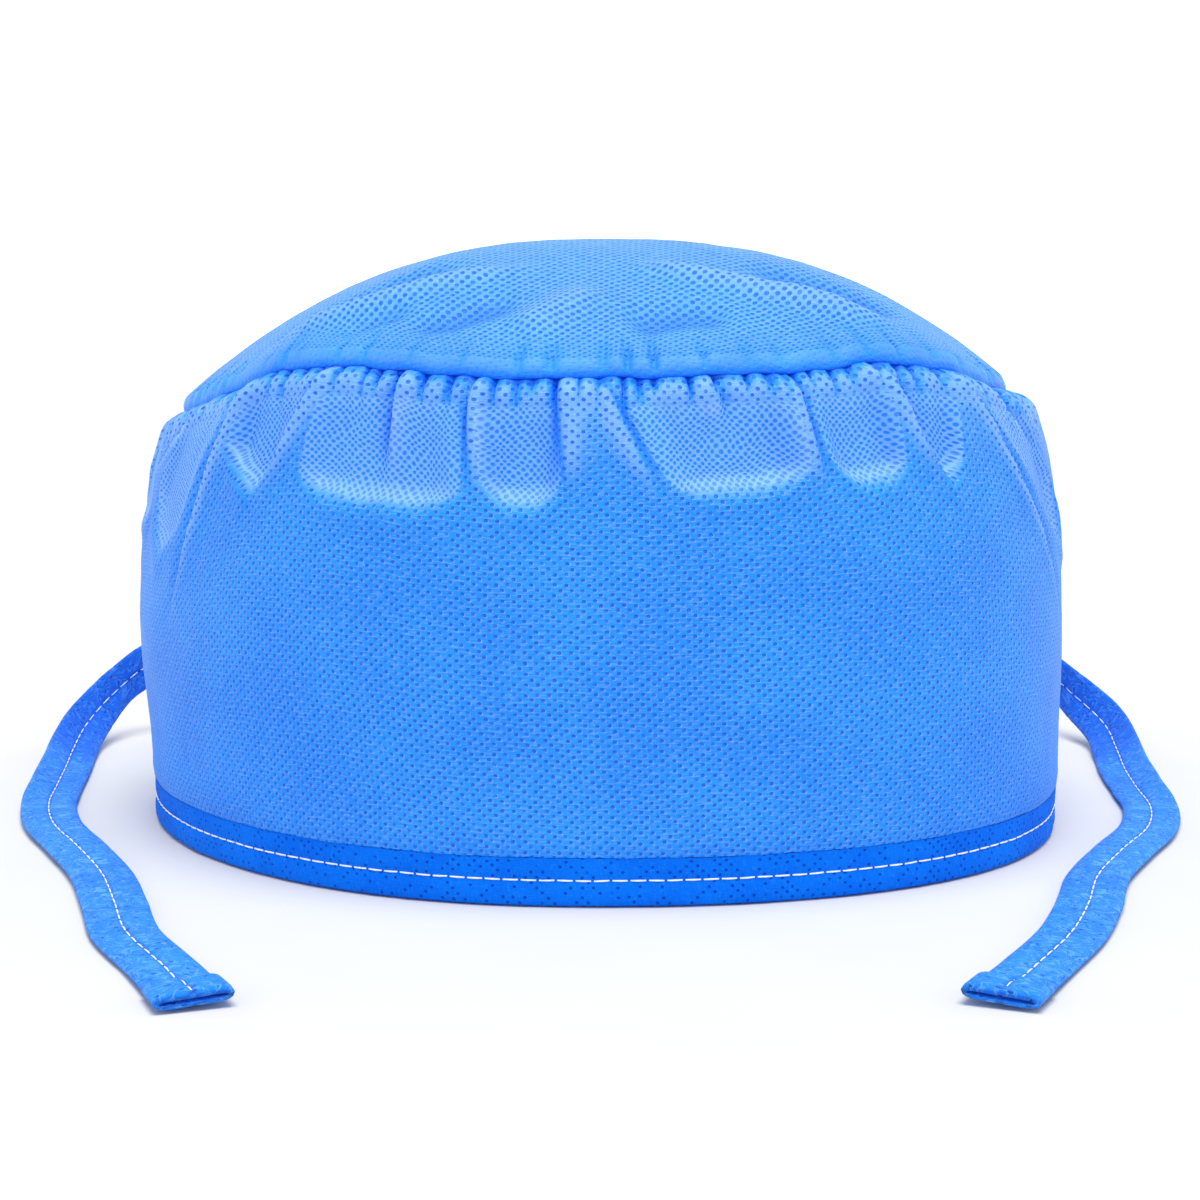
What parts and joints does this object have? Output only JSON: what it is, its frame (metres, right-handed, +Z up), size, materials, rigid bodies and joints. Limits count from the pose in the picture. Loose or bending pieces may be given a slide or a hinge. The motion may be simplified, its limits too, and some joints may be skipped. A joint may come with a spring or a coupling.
{
  "type": "disposable surgical cap",
  "caption": "Soft round-topped disposable head cap: tall side band gathered into an oval crown, bound lower edge, and flat stitched tie straps from the back that lie forward.",
  "frame": {"origin": "on the surface the cap stands on, under the middle of the cap's own box, ties left out", "axes": "+Z up from the open lower edge to the crown, front of the cap towards -Y, the wearer's left-hand side towards +X"},
  "size_m": [0.2526, 0.2602, 0.1176],
  "materials": {
    "cap_cloth": "matt spunbond cloth with a fine embossed dot pattern, light blue",
    "binding_cloth": "matt spunbond cloth folded double, stronger blue, one row of white running stitch",
    "tie_cloth": "matt spunbond cloth folded into a strap, mid blue, one row of white stitch along the middle"
  },
  "bodies": {
    "root": {"crown": "cap_cloth", "side_band": "cap_cloth", "hem_band": "binding_cloth", "tie_left": "tie_cloth", "tie_right": "tie_cloth"}
  },
  "joints": []
}
